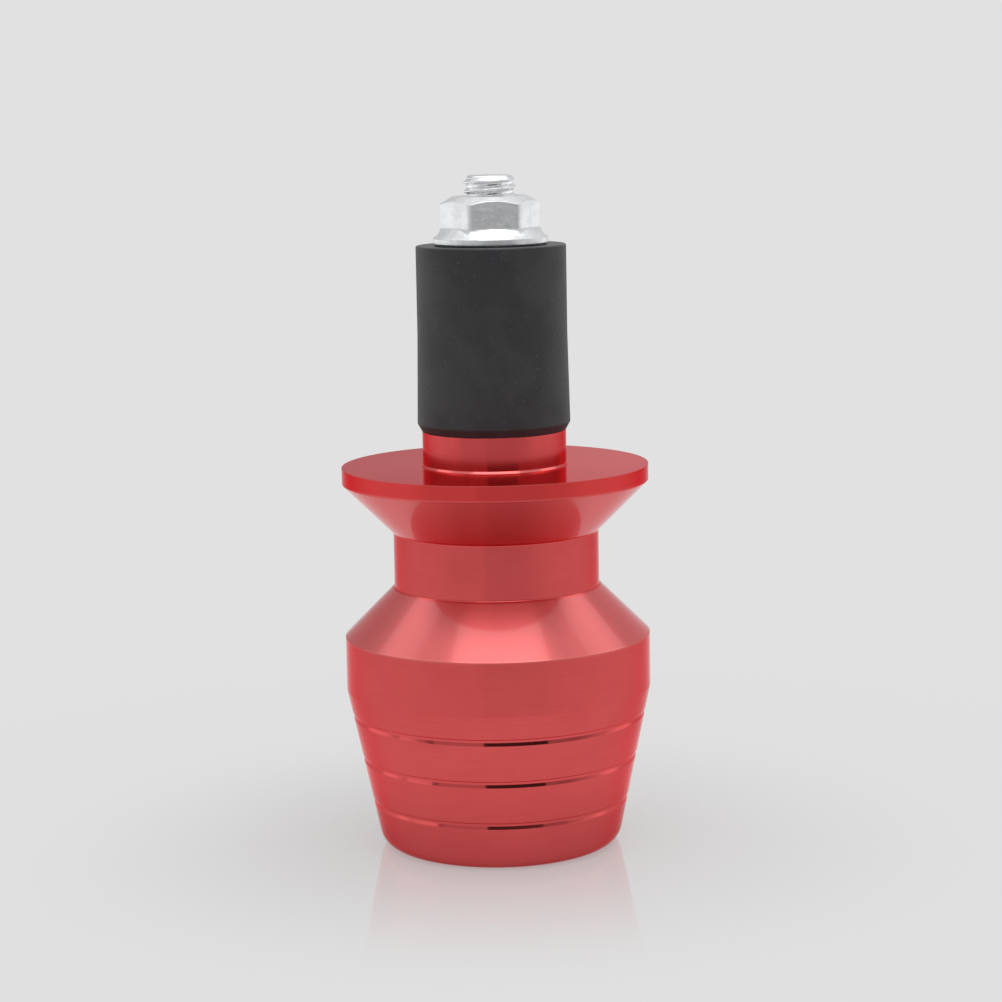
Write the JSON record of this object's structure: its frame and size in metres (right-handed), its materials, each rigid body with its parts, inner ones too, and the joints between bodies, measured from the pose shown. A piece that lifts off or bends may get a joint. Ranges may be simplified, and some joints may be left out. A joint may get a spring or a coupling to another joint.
{
  "type": "bar end weight",
  "caption": "Turned red anodised bar end weight with a waisted body, grooved taper and flange, clamped in a handlebar by a rubber sleeve, screw and flange nut.",
  "frame": {"origin": "centre of the rounded outer end, on the surface that the part stands on", "axes": "+Z along the axis from the outer end towards the nut, the way that goes into the bar; -Y towards the viewer of the picture, +X to the viewer's right"},
  "size_m": [0.035, 0.035, 0.0768],
  "materials": {
    "red_anodised": "red anodised, satin",
    "black_rubber": "matt",
    "nut_zinc": "bright zinc plated",
    "bolt_zinc": "bright zinc plated"
  },
  "bodies": {
    "root": {"weight_body": "red_anodised", "rubber_sleeve": "black_rubber", "flange_nut": "nut_zinc", "clamp_bolt": "bolt_zinc"}
  },
  "joints": []
}
